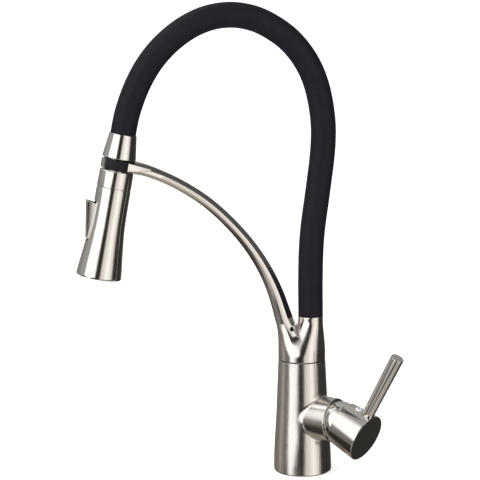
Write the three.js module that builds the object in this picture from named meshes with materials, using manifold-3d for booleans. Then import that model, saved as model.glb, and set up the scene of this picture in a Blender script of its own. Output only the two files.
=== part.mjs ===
// Pull-down kitchen faucet: a deck-mounted body with a side lever, a swivelling spout body, and a
// curved arm whose clip holds the spray head on the end of a flexible sleeved hose.
// Millimetres. The origin is the centre of the base's underside, on the worktop. +Z is up, and the
// spout reaches towards -Y. Everything above the swivel seam is drawn in the plane X = 0.
import * as THREE from 'three';
import { mergeVertices, mergeGeometries } from 'three/addons/utils/BufferGeometryUtils.js';
import Module from 'manifold-3d';

const wasm = await Module();
wasm.setup();

// ---- driving dimensions ----
const GAP = 0.3; // clearance kept between neighbouring pieces
const FINE = 28; // sides of the large turned pieces
const COARSE = 16; // sides of the small turned pieces

// deck mounting
const DECK_GRIP = 38; // thickest worktop that the shank can clamp
const SHANK_R = 16;
const SHANK_BORE_R = 12.6;
const SHANK_LENGTH = 58; // below the base
const SHANK_PITCH = 6;
const SHANK_RISE = 9; // how far the shank screws into the body
const INLET_Y = 6.2; // the two supply inlets stand side by side
const INLET_R = 5;

// main body
const BODY_PROFILE = [[28, 0], [28.6, 0.9], [28.3, 12], [27.5, 30], [25.9, 53], [24.6, 80], [23.7, 100]];
const SEAM_Z = 112.5; // the swivel seam between main body and spout body
const SEAM_R = 23.1;
const CAVITY_R = 19;
const CAVITY_START = 12;
const CAVITY_TOP = 34;

// swivel
const SPIGOT_R = 14;
const SPIGOT_BORE_R = 5;
const SPIGOT_BOTTOM = 94;
const SPIGOT_TOP = 130.5;
const SWIVEL_BORE_R = 14.4;

// spout body: a cylinder that divides into a hose socket and an arm limb
const FORK_START = 119;
const SOCKET_Y = 9;
const SOCKET_R = 12.15;
const SOCKET_TOP = 155.6;
const LIMB_Y = -17.2;
const LIMB_TOP = 153;
const LIMB_HALF_WIDTH = 8.8;
const LIMB_HALF_DEPTH = 8.6;
const LIMB_LEAN = 0.47; // how steeply the limb still shifts forwards where the arm starts

// support arm, from the limb up to the clip: its centre line, then its half sizes at both ends
const ARM_LINE = [[-17.2, 153.4], [-26.6, 182.7], [-37.2, 205.9], [-52.3, 229.8], [-72.2, 253.4],
  [-94.6, 274.1], [-123.2, 292.7], [-148.5, 304.4], [-161.5, 308.4]];
const ARM_HALF_DEPTH = [8.55, 5.25];
const ARM_HALF_WIDTH = [8.4, 5.4];
const FLARE_START = 0.875; // share of the arm's length after which it widens towards the yoke
const FLARE = 9; // how much each half widens by the arm's end
const SET_SCREW_AT = [-12, 145]; // Y and Z of the screw that holds the arm's tenon

// hose
const HOSE_R = 12.15;
const SLEEVE_BORE_R = 9.2;
const INNER_HOSE_R = 6;
const HOSE_ROUTE = [[9, 170], [9, 185], [9.2, 200], [9.7, 217], [10.9, 235], [12.9, 252], [15.6, 270],
  [18.4, 290], [20.8, 308], [22.3, 325], [22.6, 340], [21.6, 353], [19.3, 368], [15.2, 384], [9.2, 398.5],
  [0.5, 412.5], [-10.5, 425], [-25, 436], [-42, 444.7], [-60, 448.9], [-76, 448.9], [-92, 445.4],
  [-108, 438.2], [-122, 428.6], [-134.5, 417.2], [-146, 402.9], [-155, 387.5], [-162, 371.5], [-167, 356.5]];

// spray head: S is the distance down its axis from the top of the cone
const HEAD_TOP = [-170.6, 339.9];
const HEAD_TILT = THREE.MathUtils.degToRad(11.3);
const CONE_TOP_R = 13;
const GRIP_R = 16.1; // radius of the cone's foot and of the collar
const CONE_S = 23;
const COLLAR_S = 35;
const SEAM_S = 51;
const HEAD_S = 138;
const CLIP_S = (CONE_S + COLLAR_S) / 2;
const SHELL_PROFILE = [[16.35, SEAM_S + GAP], [16.45, 70], [16.9, 89], [18, 103], [19.5, 117], [20.7, 127],
  [21.65, 136.4], [21.2, HEAD_S]];
const SHELL_WALL = 2.2;
const NECK_R = 8;

// holder clip
const CLIP_HEIGHT = 9.8;
const CLIP_BORE_R = 8.5;
const CLIP_R = 15.6;
const CLIP_MOUTH = 17.2;
const YOKE_HEIGHT = 8;
const YOKE_SIDE = [[17.5, 5.5], [11.6, 24.8]]; // one side of its outline, from a tip back into the arm

// rocker switch on the front of the head
const ROCKER_TOP_S = 67;
const ROCKER_FOOT_S = 103;
const ROCKER_TOP_R = 23.7;
const ROCKER_FOOT_R = 18.4;
const ROCKER_WIDTH = 12.4;
const ROCKER_WALL = 1.3;
const ROCKER_PIVOT_S = 96;
const ROCKER_PIVOT_R = 14.2;
const PLUNGER_S = 80;

// mixing valve
const VALVE_TURN = THREE.MathUtils.degToRad(42); // from +X towards +Y
const VALVE_Z = 56.2;
const HOUSING_R = 21.5;
const HOUSING_REACH = 39.8;
const CARTRIDGE_R = 17.3;
const CARTRIDGE_START = 14;
const CARTRIDGE_END = 36;
const PIVOT_X = 45.2;
const DOME_R = 19.7;
const LEVER_TILT = THREE.MathUtils.degToRad(21);
const CAP_NEAR_R = 21.6;
const CAP_FAR_R = 23.8;
const CAP_START = 3;
const CAP_END = 33;
const CAP_BORE_R = 20.4;
const ROD_X = 25.4;
const ROD_LEAN = THREE.MathUtils.degToRad(7.5);
const ROD_ROOT_R = 5.6;
const ROD_TIP_R = 6.4;
const ROD_FOOT = 17;
const ROD_TIP = 92;
const INDEX_X = 15;

// ---- materials ----
function finish(color, metalness, roughness) {
  return new THREE.MeshStandardMaterial({ color, metalness, roughness });
}
const brushedNickel = finish(0xbdb6ae, 1, 0.32);
const polishedNickel = finish(0xc9c7c3, 1, 0.12);
const brass = finish(0xb08d4a, 1, 0.35);
const steel = finish(0x9a9a9c, 1, 0.3);
const silicone = finish(0x1d1c21, 0, 0.5);
const nylon = finish(0x2b2930, 0, 0.55);
const rubber = finish(0x17171a, 0, 0.8);
const acetal = finish(0xe9e7e1, 0, 0.4);
const greyPlastic = finish(0x55565a, 0, 0.45);

// ---- geometry helpers ----
function clean(geometry) {
  const bare = geometry.clone();
  bare.deleteAttribute('normal');
  bare.deleteAttribute('uv');
  const merged = mergeVertices(bare, 1e-4);
  const index = [];
  const all = merged.index.array;
  for (let i = 0; i < all.length; i += 3) {
    const [a, b, c] = [all[i], all[i + 1], all[i + 2]];
    if (a !== b && b !== c && c !== a) index.push(a, b, c);
  }
  merged.setIndex(index);
  return merged;
}

function solid(geometry) {
  const g = clean(geometry);
  const vertProperties = new Float32Array(g.attributes.position.array);
  const triVerts = new Uint32Array(g.index.array);
  return new wasm.Manifold(new wasm.Mesh({ numProp: 3, vertProperties, triVerts }));
}

function fromSolid(body) {
  const { vertProperties, triVerts } = body.getMesh();
  const g = new THREE.BufferGeometry();
  g.setAttribute('position', new THREE.BufferAttribute(new Float32Array(vertProperties), 3));
  g.setIndex(new THREE.BufferAttribute(new Uint32Array(triVerts), 1));
  return g;
}

function joined(...parts) {
  return fromSolid(parts.map(solid).reduce((whole, part) => whole.add(part)));
}

function cut(stock, ...tools) {
  return fromSolid(tools.map(solid).reduce((body, tool) => body.subtract(tool), solid(stock)));
}

// a turned piece about Z: its profile runs anticlockwise as [radius, height]
function turned(profile, sides = COARSE) {
  const points = profile.map(([r, h]) => new THREE.Vector2(r, h));
  if (profile[0][0] > 0) points.push(points[0].clone());
  return new THREE.LatheGeometry(points, sides).rotateX(Math.PI / 2);
}

// a ring or tube about Z with square edges
function ring(inner, outer, bottom, top, sides = COARSE) {
  return turned([[inner, bottom], [outer, bottom], [outer, top], [inner, top]], sides);
}

function disc(radius, bottom, top, sides = COARSE) {
  return turned([[0, bottom], [radius, bottom], [radius, top], [0, top]], sides);
}

function seal(major, minor, height) {
  return new THREE.TorusGeometry(major, minor, 5, COARSE).translate(0, 0, height);
}

function block(x, y, z, cx = 0, cy = 0, cz = 0) {
  return new THREE.BoxGeometry(x, y, z).translate(cx, cy, cz);
}

// a straight bar between two points, round, with a radius at each end
function bar(from, to, fromRadius, toRadius = fromRadius, sides = COARSE) {
  const a = new THREE.Vector3(...from);
  const b = new THREE.Vector3(...to);
  const way = b.clone().sub(a);
  const g = new THREE.CylinderGeometry(toRadius, fromRadius, way.length(), sides);
  const up = new THREE.Vector3(0, 1, 0);
  g.applyQuaternion(new THREE.Quaternion().setFromUnitVectors(up, way.clone().normalize()));
  return g.translate(...a.add(b).multiplyScalar(0.5).toArray());
}

// moves every vertex of a geometry by a rule on its position
function reshape(geometry, rule) {
  const p = geometry.attributes.position;
  const v = new THREE.Vector3();
  for (let i = 0; i < p.count; i++) {
    v.fromBufferAttribute(p, i);
    rule(v);
    p.setXYZ(i, v.x, v.y, v.z);
  }
  return geometry;
}

const lerp = THREE.MathUtils.lerp;
const ease = (z, low, high) => THREE.MathUtils.smoothstep(z, low, high);

function planeCurve(points) {
  const line = points.map(([y, z]) => new THREE.Vector3(0, y, z));
  return new THREE.CatmullRomCurve3(line, false, 'centripetal');
}

function outline(points) {
  return new THREE.Shape(points.map(([x, y]) => new THREE.Vector2(x, y)));
}

// ---- scene graph ----
const faucet = new THREE.Group();
const onAxis = new THREE.Group();
const valve = new THREE.Group();
const lever = new THREE.Group();
const head = new THREE.Group();
valve.position.z = VALVE_Z;
valve.rotation.z = VALVE_TURN;
lever.position.x = PIVOT_X;
lever.rotation.y = LEVER_TILT;
head.position.set(0, HEAD_TOP[0], HEAD_TOP[1]);
head.rotation.x = -HEAD_TILT;
valve.add(lever);
faucet.add(onAxis, valve, head);

function place(group, name, geometry, material) {
  const mesh = new THREE.Mesh(geometry, material);
  mesh.name = name;
  group.add(mesh);
}

// a piece turned about Z, laid along the valve's own +X axis
function alongValve(geometry) {
  return geometry.rotateY(Math.PI / 2);
}

// a piece of the head, turned about Z with its heights given as distances down the axis
function headTurned(profile, sides = FINE) {
  return turned(profile.map(([r, s]) => [r, -s]).reverse(), sides);
}

function headRing(inner, outer, top, bottom, sides = COARSE) {
  return ring(inner, outer, -bottom, -top, sides);
}

function headDisc(radius, top, bottom, sides = COARSE) {
  return disc(radius, -bottom, -top, sides);
}

// ---- deck mounting ----
function threadedTube() {
  const crests = [];
  for (let z = -SHANK_LENGTH; z < SHANK_RISE - SHANK_PITCH; z += SHANK_PITCH) {
    crests.push([SHANK_R - 0.7, z], [SHANK_R, z + SHANK_PITCH / 2]);
  }
  return turned([[SHANK_BORE_R, -SHANK_LENGTH], ...crests, [SHANK_R - 0.7, SHANK_RISE - GAP],
    [SHANK_BORE_R, SHANK_RISE - GAP]]);
}

function hexNut(acrossCorners, bore, bottom, top) {
  const nut = new THREE.CylinderGeometry(acrossCorners, acrossCorners, top - bottom, 6);
  nut.rotateX(Math.PI / 2).translate(0, 0, (top + bottom) / 2);
  return cut(nut, disc(bore, bottom - 1, top + 1));
}

function deckMounting() {
  const rubberTop = -DECK_GRIP;
  place(onAxis, 'base_gasket', ring(20.5, 25.4, 0, 1.7, FINE), rubber);
  place(onAxis, 'mounting_shank', threadedTube(), brass);
  place(onAxis, 'deck_seal_washer', ring(SHANK_R + GAP, 27, rubberTop - 3, rubberTop), rubber);
  place(onAxis, 'deck_backing_washer', ring(SHANK_R + GAP, 26, rubberTop - 5.3, rubberTop - 3.3), steel);
  place(onAxis, 'mounting_nut', hexNut(25, SHANK_R + GAP, rubberTop - 15, rubberTop - 5.6), brass);
  for (const [name, side] of [['hot_inlet', -1], ['cold_inlet', 1]]) {
    const nipple = turned([[3, 12], [INLET_R, 12], [INLET_R, 16], [5.6, 16], [5.6, 24], [INLET_R, 24],
      [INLET_R, 40], [3, 40]]);
    place(onAxis, name, nipple.translate(0, side * INLET_Y, 0), brass);
  }
}

// ---- main body with its valve housing ----
function mainBody() {
  const shell = turned([[0, 0], ...BODY_PROFILE, [SEAM_R, SEAM_Z - 0.5], [SEAM_R - 0.5, SEAM_Z],
    [0, SEAM_Z]], FINE);
  const turnToValve = (g) => alongValve(g).rotateZ(VALVE_TURN).translate(0, 0, VALVE_Z);
  const housing = turnToValve(turned([[0, 0], [HOUSING_R, 0], [HOUSING_R, HOUSING_REACH - 0.6],
    [HOUSING_R - 0.6, HOUSING_REACH], [0, HOUSING_REACH]], FINE));
  const seat = turnToValve(disc(CARTRIDGE_R + GAP, CARTRIDGE_START - GAP, CARTRIDGE_END, FINE));
  const neck = turnToValve(disc(18.6, CARTRIDGE_END - 2, HOUSING_REACH + 1, FINE));
  const cavity = disc(CAVITY_R, CAVITY_START, CAVITY_TOP);
  const passage = disc(14.2, 0, CAVITY_START + 1);
  const thread = disc(SHANK_R + GAP, -1, SHANK_RISE);
  const gasketSeat = ring(20.2, 25.7, -1, 2, FINE);
  const risers = [-1, 1].map((side) => disc(INLET_R + GAP, CAVITY_TOP - 1, 41)
    .translate(0, side * INLET_Y, 0));
  const feeds = [-1, 1].map((side) => turnToValve(
    bar([-6, side * 4, -24], [CARTRIDGE_START, side * 6, -6], 2.6, 2.6, 12)));
  const outlet = turnToValve(bar([0, 0, 45], [CARTRIDGE_START + 1, 0, 8], 3, 3, 12));
  const spigotSeat = disc(SPIGOT_R - 2 + GAP, SPIGOT_BOTTOM - GAP, SEAM_Z + 1);
  return cut(joined(shell, housing), seat, neck, cavity, passage, thread, gasketSeat,
    ...risers, ...feeds, outlet, spigotSeat);
}

// ---- swivel joint ----
function swivel() {
  const groove = (z) => [[SPIGOT_R, z - 1.2], [SPIGOT_R - 2, z - 1.2], [SPIGOT_R - 2, z + 1.2],
    [SPIGOT_R, z + 1.2]];
  const spigot = turned([[SPIGOT_BORE_R, SPIGOT_BOTTOM], [SPIGOT_R - 2, SPIGOT_BOTTOM],
    [SPIGOT_R - 2, SEAM_Z + 0.5], [SPIGOT_R, SEAM_Z + 0.5], ...groove(117), ...groove(122.6),
    ...groove(127.2), [SPIGOT_R, SPIGOT_TOP], [SPIGOT_BORE_R, SPIGOT_TOP]]);
  place(onAxis, 'swivel_spigot', spigot, brass);
  place(onAxis, 'swivel_seal_lower', seal(13.1, 0.9, 122.6), rubber);
  place(onAxis, 'swivel_seal_upper', seal(13.1, 0.9, 127.2), rubber);
  place(onAxis, 'swivel_glide_ring', ring(14.6, 20.6, SEAM_Z + GAP, SEAM_Z + 1.7, FINE), greyPlastic);
  place(onAxis, 'spout_retaining_ring', ring(12.3, 13.8, 116.2, 117.8), steel);
}

// a rise from 0 at low to 1 at high, which goes on with a given slope
function lean(z, low, high, slope) {
  const s = Math.max((z - low) / (high - low), 0);
  return s < 1 ? (3 - slope) * s ** 2 + (slope - 2) * s ** 3 : 1 + slope * (s - 1);
}

// one limb of the spout body: a round section that slides sideways and shrinks as it rises
function limb(shiftY, halfX, halfY, top, end, slope) {
  const height = top - SEAM_Z - 0.6;
  const g = new THREE.CylinderGeometry(1, 1, height, FINE, 7).rotateX(Math.PI / 2);
  g.translate(0, 0, SEAM_Z + 0.6 + height / 2);
  return reshape(g, (v) => {
    const t = ease(v.z, FORK_START, end);
    v.x *= lerp(SEAM_R, halfX, t);
    v.y = v.y * lerp(SEAM_R, halfY, t) + shiftY * lean(v.z, FORK_START, end, slope);
  });
}

function armStart() {
  const line = planeCurve(ARM_LINE);
  return { point: line.getPoint(0), way: line.getTangent(0) };
}

function spoutBody() {
  const socket = limb(SOCKET_Y, SOCKET_R, SOCKET_R, SOCKET_TOP, 150, 0);
  const front = limb(LIMB_Y, LIMB_HALF_WIDTH, LIMB_HALF_DEPTH, LIMB_TOP + 5, LIMB_TOP, LIMB_LEAN);
  const { point, way } = armStart();
  const lean = Math.atan2(-way.y, way.z);
  const above = block(60, 60, 40, 0, 0, 20 - GAP).rotateX(lean).translate(0, point.y, point.z);
  const trimmed = cut(front, above);
  const bore = disc(SWIVEL_BORE_R, SEAM_Z, SPIGOT_TOP + 2);
  const glideSeat = disc(20.9, SEAM_Z, SEAM_Z + 2, FINE);
  const channel = bar([0, 0, SPIGOT_TOP], [0, SOCKET_Y, 149], 4.2, 4.2, 16);
  const socketBore = disc(8.3, 144.5, SOCKET_TOP + 1).translate(0, SOCKET_Y, 0);
  const tenonHole = armStub(point, way, 12, 4.8);
  const screwHole = acrossLimb(3.5, 14, 2.2);
  return cut(joined(socket, trimmed), bore, glideSeat, channel, socketBore, tenonHole, screwHole);
}

// a bar along the arm's start, reaching down into the limb
function armStub(point, way, depth, radius) {
  const from = [0, point.y - way.y * depth, point.z - way.z * depth];
  return bar(from, [0, point.y + way.y, point.z + way.z], radius);
}

// a bar along X through the place of the arm's set screw
function acrossLimb(from, to, radius, sides = 16) {
  const [y, z] = SET_SCREW_AT;
  return bar([from, y, z], [to, y, z], radius, radius, sides);
}

function setScrew() {
  return cut(acrossLimb(4.9, 9.9, 1.9), acrossLimb(8, 11, 1.1, 6));
}

// ---- support arm with its yoke ----
function armSweep() {
  const section = outline([[-0.5, -1], [0.5, -1], [1, -0.3], [0.86, 0.42], [0.14, 1], [-0.14, 1],
    [-0.86, 0.42], [-1, -0.3]]);
  const line = planeCurve(ARM_LINE);
  const g = new THREE.ExtrudeGeometry(section, { depth: 1, steps: 26, bevelEnabled: false });
  return reshape(g, (v) => {
    const u = Math.min(Math.max(v.z, 0), 1);
    const at = line.getPointAt(u);
    const way = line.getTangentAt(u);
    const flare = FLARE * Math.max(u - FLARE_START, 0) / (1 - FLARE_START);
    const across = v.x * lerp(...ARM_HALF_WIDTH, u) + Math.sign(v.x) * flare;
    const out = v.y * lerp(...ARM_HALF_DEPTH, 1 - (1 - u) ** 3);
    v.set(across, at.y + out * way.z, at.z - out * way.y);
  });
}

function toHead(geometry) {
  return geometry.rotateX(-HEAD_TILT).translate(0, HEAD_TOP[0], HEAD_TOP[1]);
}

// the yoke's block, whose sides run on from the arm's flare to its two tips
function yokeBlock() {
  const side = YOKE_SIDE.map(([x, y]) => [-x, y]).reverse();
  const slab = new THREE.ExtrudeGeometry(outline([...YOKE_SIDE, ...side]), {
    depth: YOKE_HEIGHT,
    bevelEnabled: false,
  });
  return slab.translate(0, 0, -CLIP_S - YOKE_HEIGHT / 2);
}

function supportArm() {
  const bore = (radius) => disc(radius, -CLIP_S - 20, -CLIP_S + 20, FINE);
  const sweep = cut(armSweep(), toHead(bore(GRIP_R + 2 * GAP)));
  const yoke = toHead(cut(yokeBlock(), bore(CLIP_R + GAP)));
  const screwHole = toHead(disc(1.8, 0, 12, 12).rotateX(-Math.PI / 2).translate(0, 12, -CLIP_S));
  const { point, way } = armStart();
  const tenon = armStub(point, way, 11, 4.5);
  return cut(joined(sweep, yoke, tenon), screwHole);
}

// ---- holder clip ----
function holderClip() {
  const half = CLIP_HEIGHT / 2;
  const body = turned([[CLIP_BORE_R, -half], [CLIP_R - 0.5, -half], [CLIP_R, -half + 0.5],
    [CLIP_R, half - 0.5], [CLIP_R - 0.5, half], [CLIP_BORE_R, half]], FINE);
  const mouth = block(CLIP_MOUTH, 20, CLIP_HEIGHT + 2, 0, -10, 0);
  const screwHole = disc(1.8, 6, 20, 12).rotateX(-Math.PI / 2);
  const headSink = disc(3.4, 6, 11, 16).rotateX(-Math.PI / 2);
  return cut(body, mouth, screwHole, headSink).translate(0, 0, -CLIP_S);
}

function clipScrew() {
  const shaft = turned([[0, 9], [2.9, 9], [2.9, 10.6], [1.5, 10.6], [1.5, 22], [0, 22]], 12);
  return shaft.rotateX(-Math.PI / 2).translate(0, 0, -CLIP_S);
}

// ---- hose ----
function circlePoints(radius, sides) {
  return Array.from({ length: sides }, (_, i) => {
    const a = (i / sides) * Math.PI * 2;
    return [radius * Math.cos(a), radius * Math.sin(a)];
  });
}

function alongHead(s) {
  return [HEAD_TOP[0] - s * Math.sin(HEAD_TILT), HEAD_TOP[1] - s * Math.cos(HEAD_TILT)];
}

function hoseTube(radius, bore, sides, startZ, endS, steps) {
  const shape = outline(circlePoints(radius, sides));
  if (bore > 0) shape.holes.push(outline(circlePoints(bore, sides)));
  const route = planeCurve([[SOCKET_Y, startZ], ...HOSE_ROUTE, alongHead(endS)]);
  return new THREE.ExtrudeGeometry(shape, { steps, bevelEnabled: false, extrudePath: route });
}

function hose() {
  const sleeve = hoseTube(HOSE_R, SLEEVE_BORE_R, 10, SOCKET_TOP + GAP, 9, 30);
  const inner = hoseTube(INNER_HOSE_R, 0, 8, SOCKET_TOP + 3, -1, 30);
  const nipple = turned([[3, 145], [8, 145], [8, SOCKET_TOP + GAP], [8.4, SOCKET_TOP + GAP], [8.4, 172],
    [6.3, 172], [6.3, SOCKET_TOP + 2.6], [3, SOCKET_TOP + 2.6]]).translate(0, SOCKET_Y, 0);
  place(onAxis, 'hose_sleeve', sleeve, silicone);
  place(onAxis, 'inner_hose', inner, rubber);
  place(onAxis, 'hose_nipple', nipple, brass);
}

// ---- hose end: the cone and the neck that the clip holds ----
function cone() {
  const foot = GRIP_R - 0.4;
  return headTurned([[12.45, 0], [CONE_TOP_R - 0.1, 0], [CONE_TOP_R + 0.1, 0.6], [GRIP_R, CONE_S - 0.6],
    [foot, CONE_S], [NECK_R + GAP, CONE_S], [NECK_R + GAP, 12], [12.45, 12]]);
}

function neck() {
  const tube = headTurned([[3.6, -10], [3.6, 49], [NECK_R, 49], [NECK_R, 44.6], [7, 44.6], [7, 43.2],
    [NECK_R, 43.2], [NECK_R, 8], [8.4, 7.5], [8.4, -10]].reverse(), COARSE);
  const pocket = headDisc(6.3, -11, 0);
  const lug = block(16.4, 12, 8.2, 0, -11, -CLIP_S);
  const flush = disc(GRIP_R, -CLIP_S - 10, -CLIP_S + 10, FINE);
  const tongue = fromSolid(solid(lug).intersect(solid(flush)));
  const way = headDisc(3.6, -11, 60);
  return cut(joined(tube, tongue), pocket, way);
}

function hoseEnd() {
  place(head, 'hose_cone', cone(), polishedNickel);
  place(head, 'docking_neck', neck(), polishedNickel);
  place(head, 'neck_circlip', headRing(7.2, 10.2, 43.4, 44.4), steel);
}

// ---- spray head ----
// a bar along the rocker's pivot
function pivotBar(halfLength, radius) {
  const ends = [-1, 1].map((side) => [side * halfLength, -ROCKER_PIVOT_R, -ROCKER_PIVOT_S]);
  return bar(...ends, radius, radius, 12);
}

function collar() {
  return headTurned([[NECK_R + 0.35, COLLAR_S], [GRIP_R - 0.4, COLLAR_S], [GRIP_R, COLLAR_S + 0.5],
    [16.35, SEAM_S], [13.7, SEAM_S], [13.7, 41], [NECK_R + 0.35, 41]]);
}

function insideOf(profile, wall) {
  return profile.map(([r, s]) => [r - wall, s]);
}

function headShell() {
  const inner = insideOf(SHELL_PROFILE.slice(1, -1), SHELL_WALL).reverse();
  const body = headTurned([[11, 42], [13.4, 42], [13.4, SEAM_S + GAP], ...SHELL_PROFILE,
    [19.4, HEAD_S], ...inner, [11, 56]]);
  const window = block(ROCKER_WIDTH + 0.8, 14, ROCKER_FOOT_S - ROCKER_TOP_S + 3, 0, -18.6,
    -(ROCKER_FOOT_S + ROCKER_TOP_S) / 2);
  const pinSeat = pivotBar(8.7, 1.3);
  return cut(body, window, pinSeat);
}

function rockerSwitch() {
  const side = outline([[-ROCKER_TOP_R, -ROCKER_TOP_S], [-14.6, -ROCKER_TOP_S - 1.5], [-13, -90],
    [-12, -ROCKER_PIVOT_S], [-13, -100.5], [-16.8, -ROCKER_FOOT_S], [-ROCKER_FOOT_R, -ROCKER_FOOT_S + 0.4]]);
  const hollow = outline([[-ROCKER_TOP_R + 1.5, 1 - ROCKER_TOP_S], [-10, 1 - ROCKER_TOP_S], [-10, -92],
    [-18.3, -92]]);
  const upright = (shape, width) => new THREE.ExtrudeGeometry(shape, { depth: width, bevelEnabled: false })
    .translate(0, 0, -width / 2).rotateX(Math.PI / 2).rotateZ(Math.PI / 2);
  const body = upright(side, ROCKER_WIDTH);
  const space = upright(hollow, ROCKER_WIDTH - 2 * ROCKER_WALL);
  const eye = pivotBar(10, 1.3);
  return cut(body, space, eye);
}

function diverterBody() {
  const body = headTurned([[5, 56], [10.4, 56], [10.4, 104], [17, 124], [17.4, 129], [11.7, 129],
    [11.7, 117], [5, 117]], COARSE);
  const plungerBore = bar([0, -12, -PLUNGER_S], [0, -3, -PLUNGER_S], 2.8, 2.8, 12);
  return cut(body, plungerBore);
}

function nozzlePlaces(count, radius, each) {
  for (let i = 0; i < count; i++) {
    const a = (i / count) * Math.PI * 2;
    each(radius * Math.cos(a), radius * Math.sin(a));
  }
}

function sprayFace() {
  const holes = [];
  const nibs = [];
  for (const [count, radius] of [[8, 13.8], [12, 16.6]]) {
    nozzlePlaces(count, radius, (x, y) => {
      holes.push(headDisc(1.15, 130, 138, 6).translate(x, y, 0));
      nibs.push(headDisc(0.75, 130.5, 136.6, 6).translate(x, y, 0));
    });
  }
  place(head, 'nozzle_mat', joined(headRing(12.2, 17.9, 129.6, 131.4, FINE), ...nibs), rubber);
  place(head, 'spray_plate', cut(headRing(12, 18.5, 132, 136, FINE), ...holes), greyPlastic);
}

function sprayHead() {
  place(head, 'head_collar', collar(), brushedNickel);
  place(head, 'swivel_washer', headRing(NECK_R + 0.4, 10.8, 41.3, 42.9), acetal);
  place(head, 'head_shell', headShell(), brushedNickel);
  place(head, 'inlet_filter', headDisc(10.6, 50, 52), steel);
  place(head, 'diverter_body', diverterBody(), greyPlastic);
  place(head, 'aerator_housing', headTurned([[9.6, 118], [11.4, 118], [11.4, 136.4], [8.6, 136.4],
    [8.6, 134], [9.6, 134]], COARSE), greyPlastic);
  place(head, 'aerator_screen', headDisc(9.3, 131, 133.6), steel);
  place(head, 'rocker_pin', pivotBar(8.4, 1), steel);
  sprayFace();
  place(head, 'rocker_switch', rockerSwitch(), brushedNickel);
  place(head, 'diverter_plunger', bar([0, -19.7, -PLUNGER_S], [0, -6, -PLUNGER_S], 2.5, 2.5, 12), acetal);
}

// ---- mixing valve and handle ----
function dome() {
  const start = Math.asin((PIVOT_X - HOUSING_REACH - GAP) / DOME_R);
  const end = THREE.MathUtils.degToRad(50);
  const steps = 6;
  const arc = (radius, from, to) => Array.from({ length: steps + 1 }, (_, i) => {
    const a = lerp(from, to, i / steps);
    return [radius * Math.cos(a), PIVOT_X + radius * Math.sin(a)];
  });
  const outer = arc(DOME_R, -start, end);
  const inner = arc(DOME_R - 1.6, end, -start - 0.05);
  return alongValve(turned([[16.7, 35], [18.3, 35], [18.3, HOUSING_REACH + GAP], ...outer, ...inner,
    [16.7, 39]], FINE));
}

function cartridge() {
  const body = alongValve(turned([[0, CARTRIDGE_START], [CARTRIDGE_R, CARTRIDGE_START], [CARTRIDGE_R, 33],
    [11.5, 33], [11.5, 39.5], [0, 39.5]], COARSE));
  const seats = [[0, 8], [-6, -6], [6, -6]].map(([y, z]) => alongValve(disc(2.4, 10, 17, 12))
    .translate(0, y, z));
  return cut(body, ...seats);
}

function spindle() {
  const fork = joined(alongValve(disc(8, 39.8, 43, COARSE)), block(9, 12, 9, 45.7, 0, 0));
  const slot = block(12, 5.6, 20, 47.2, 0, 0);
  const pinHole = bar([PIVOT_X, -10, 0], [PIVOT_X, 10, 0], 1.8, 1.8, 12);
  return cut(fork, slot, pinHole);
}

function leverStem() {
  const eye = bar([0, -2.4, 0], [0, 2.4, 0], 3.6, 3.6, 16);
  const stem = joined(eye, block(26, 4.8, 4.8, 13, 0, 0));
  return cut(stem, bar([0, -4, 0], [0, 4, 0], 1.8, 1.8, 12));
}

// the rod's axis leans outwards, so its distance along the cap depends on its height
function rodX(up) {
  return ROD_X + (up - ROD_FOOT) * Math.tan(ROD_LEAN);
}

function handleCap() {
  const body = alongValve(turned([[CAP_BORE_R, CAP_START], [CAP_NEAR_R, CAP_START],
    [CAP_FAR_R, CAP_END - 0.6], [CAP_FAR_R - 0.6, CAP_END], [0, CAP_END], [0, 29], [9, 29], [14, 25],
    [18, 19.5], [CAP_BORE_R, 12]], FINE));
  const boss = alongValve(disc(6, 22, 30));
  const socket = block(10, 5.4, 5.4, 23, 0, 0);
  const foot = ROD_FOOT - 0.4;
  const rodHole = bar([rodX(foot), 0, foot], [rodX(40), 0, 40], ROD_ROOT_R + GAP, ROD_TIP_R);
  const plugHole = bar([INDEX_X, 0, 18], [INDEX_X, 0, 30], 3.5, 3.5, 16);
  return cut(joined(body, boss), socket, rodHole, plugHole);
}

function leverRod() {
  const at = (up) => [rodX(up), 0, up];
  return joined(
    bar(at(ROD_FOOT), at(ROD_TIP - 0.6), ROD_ROOT_R, ROD_TIP_R),
    bar(at(ROD_TIP - 1), at(ROD_TIP), ROD_TIP_R - 0.05, ROD_TIP_R - 0.6));
}

function mixingValve() {
  place(valve, 'valve_cartridge', cartridge(), greyPlastic);
  place(valve, 'cartridge_nut', alongValve(ring(11.9, 16.3, 33.4, 38.4)), brass);
  place(valve, 'bonnet_dome', dome(), polishedNickel);
  place(valve, 'cartridge_spindle', spindle(), steel);
  place(valve, 'lever_pin', bar([PIVOT_X, -5.9, 0], [PIVOT_X, 5.9, 0], 1.5, 1.5, 12), steel);
  place(lever, 'lever_stem', leverStem(), steel);
  place(lever, 'handle_cap', handleCap(), brushedNickel);
  place(lever, 'lever_rod', leverRod(), polishedNickel);
  place(lever, 'index_plug', bar([INDEX_X, 0, 20.2], [INDEX_X, 0, 22.9], 3.2, 3.2, 16), acetal);
}

// ---- assembly ----
deckMounting();
place(onAxis, 'main_body', mainBody(), brushedNickel);
swivel();
place(onAxis, 'spout_body', spoutBody(), brushedNickel);
place(onAxis, 'support_arm', supportArm(), brushedNickel);
place(onAxis, 'arm_set_screw', setScrew(), steel);
place(head, 'holder_clip', holderClip(), nylon);
place(head, 'clip_screw', clipScrew(), steel);
hose();
hoseEnd();
sprayHead();
mixingValve();

export default faucet;
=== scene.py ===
"""Looks for the pull-down kitchen faucet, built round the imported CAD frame.

Lengths in this file are millimetres in the row frame unless a name says metres; put() converts them.
"""

import math

import bmesh
import bpy
from mathutils import Matrix, Vector

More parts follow.
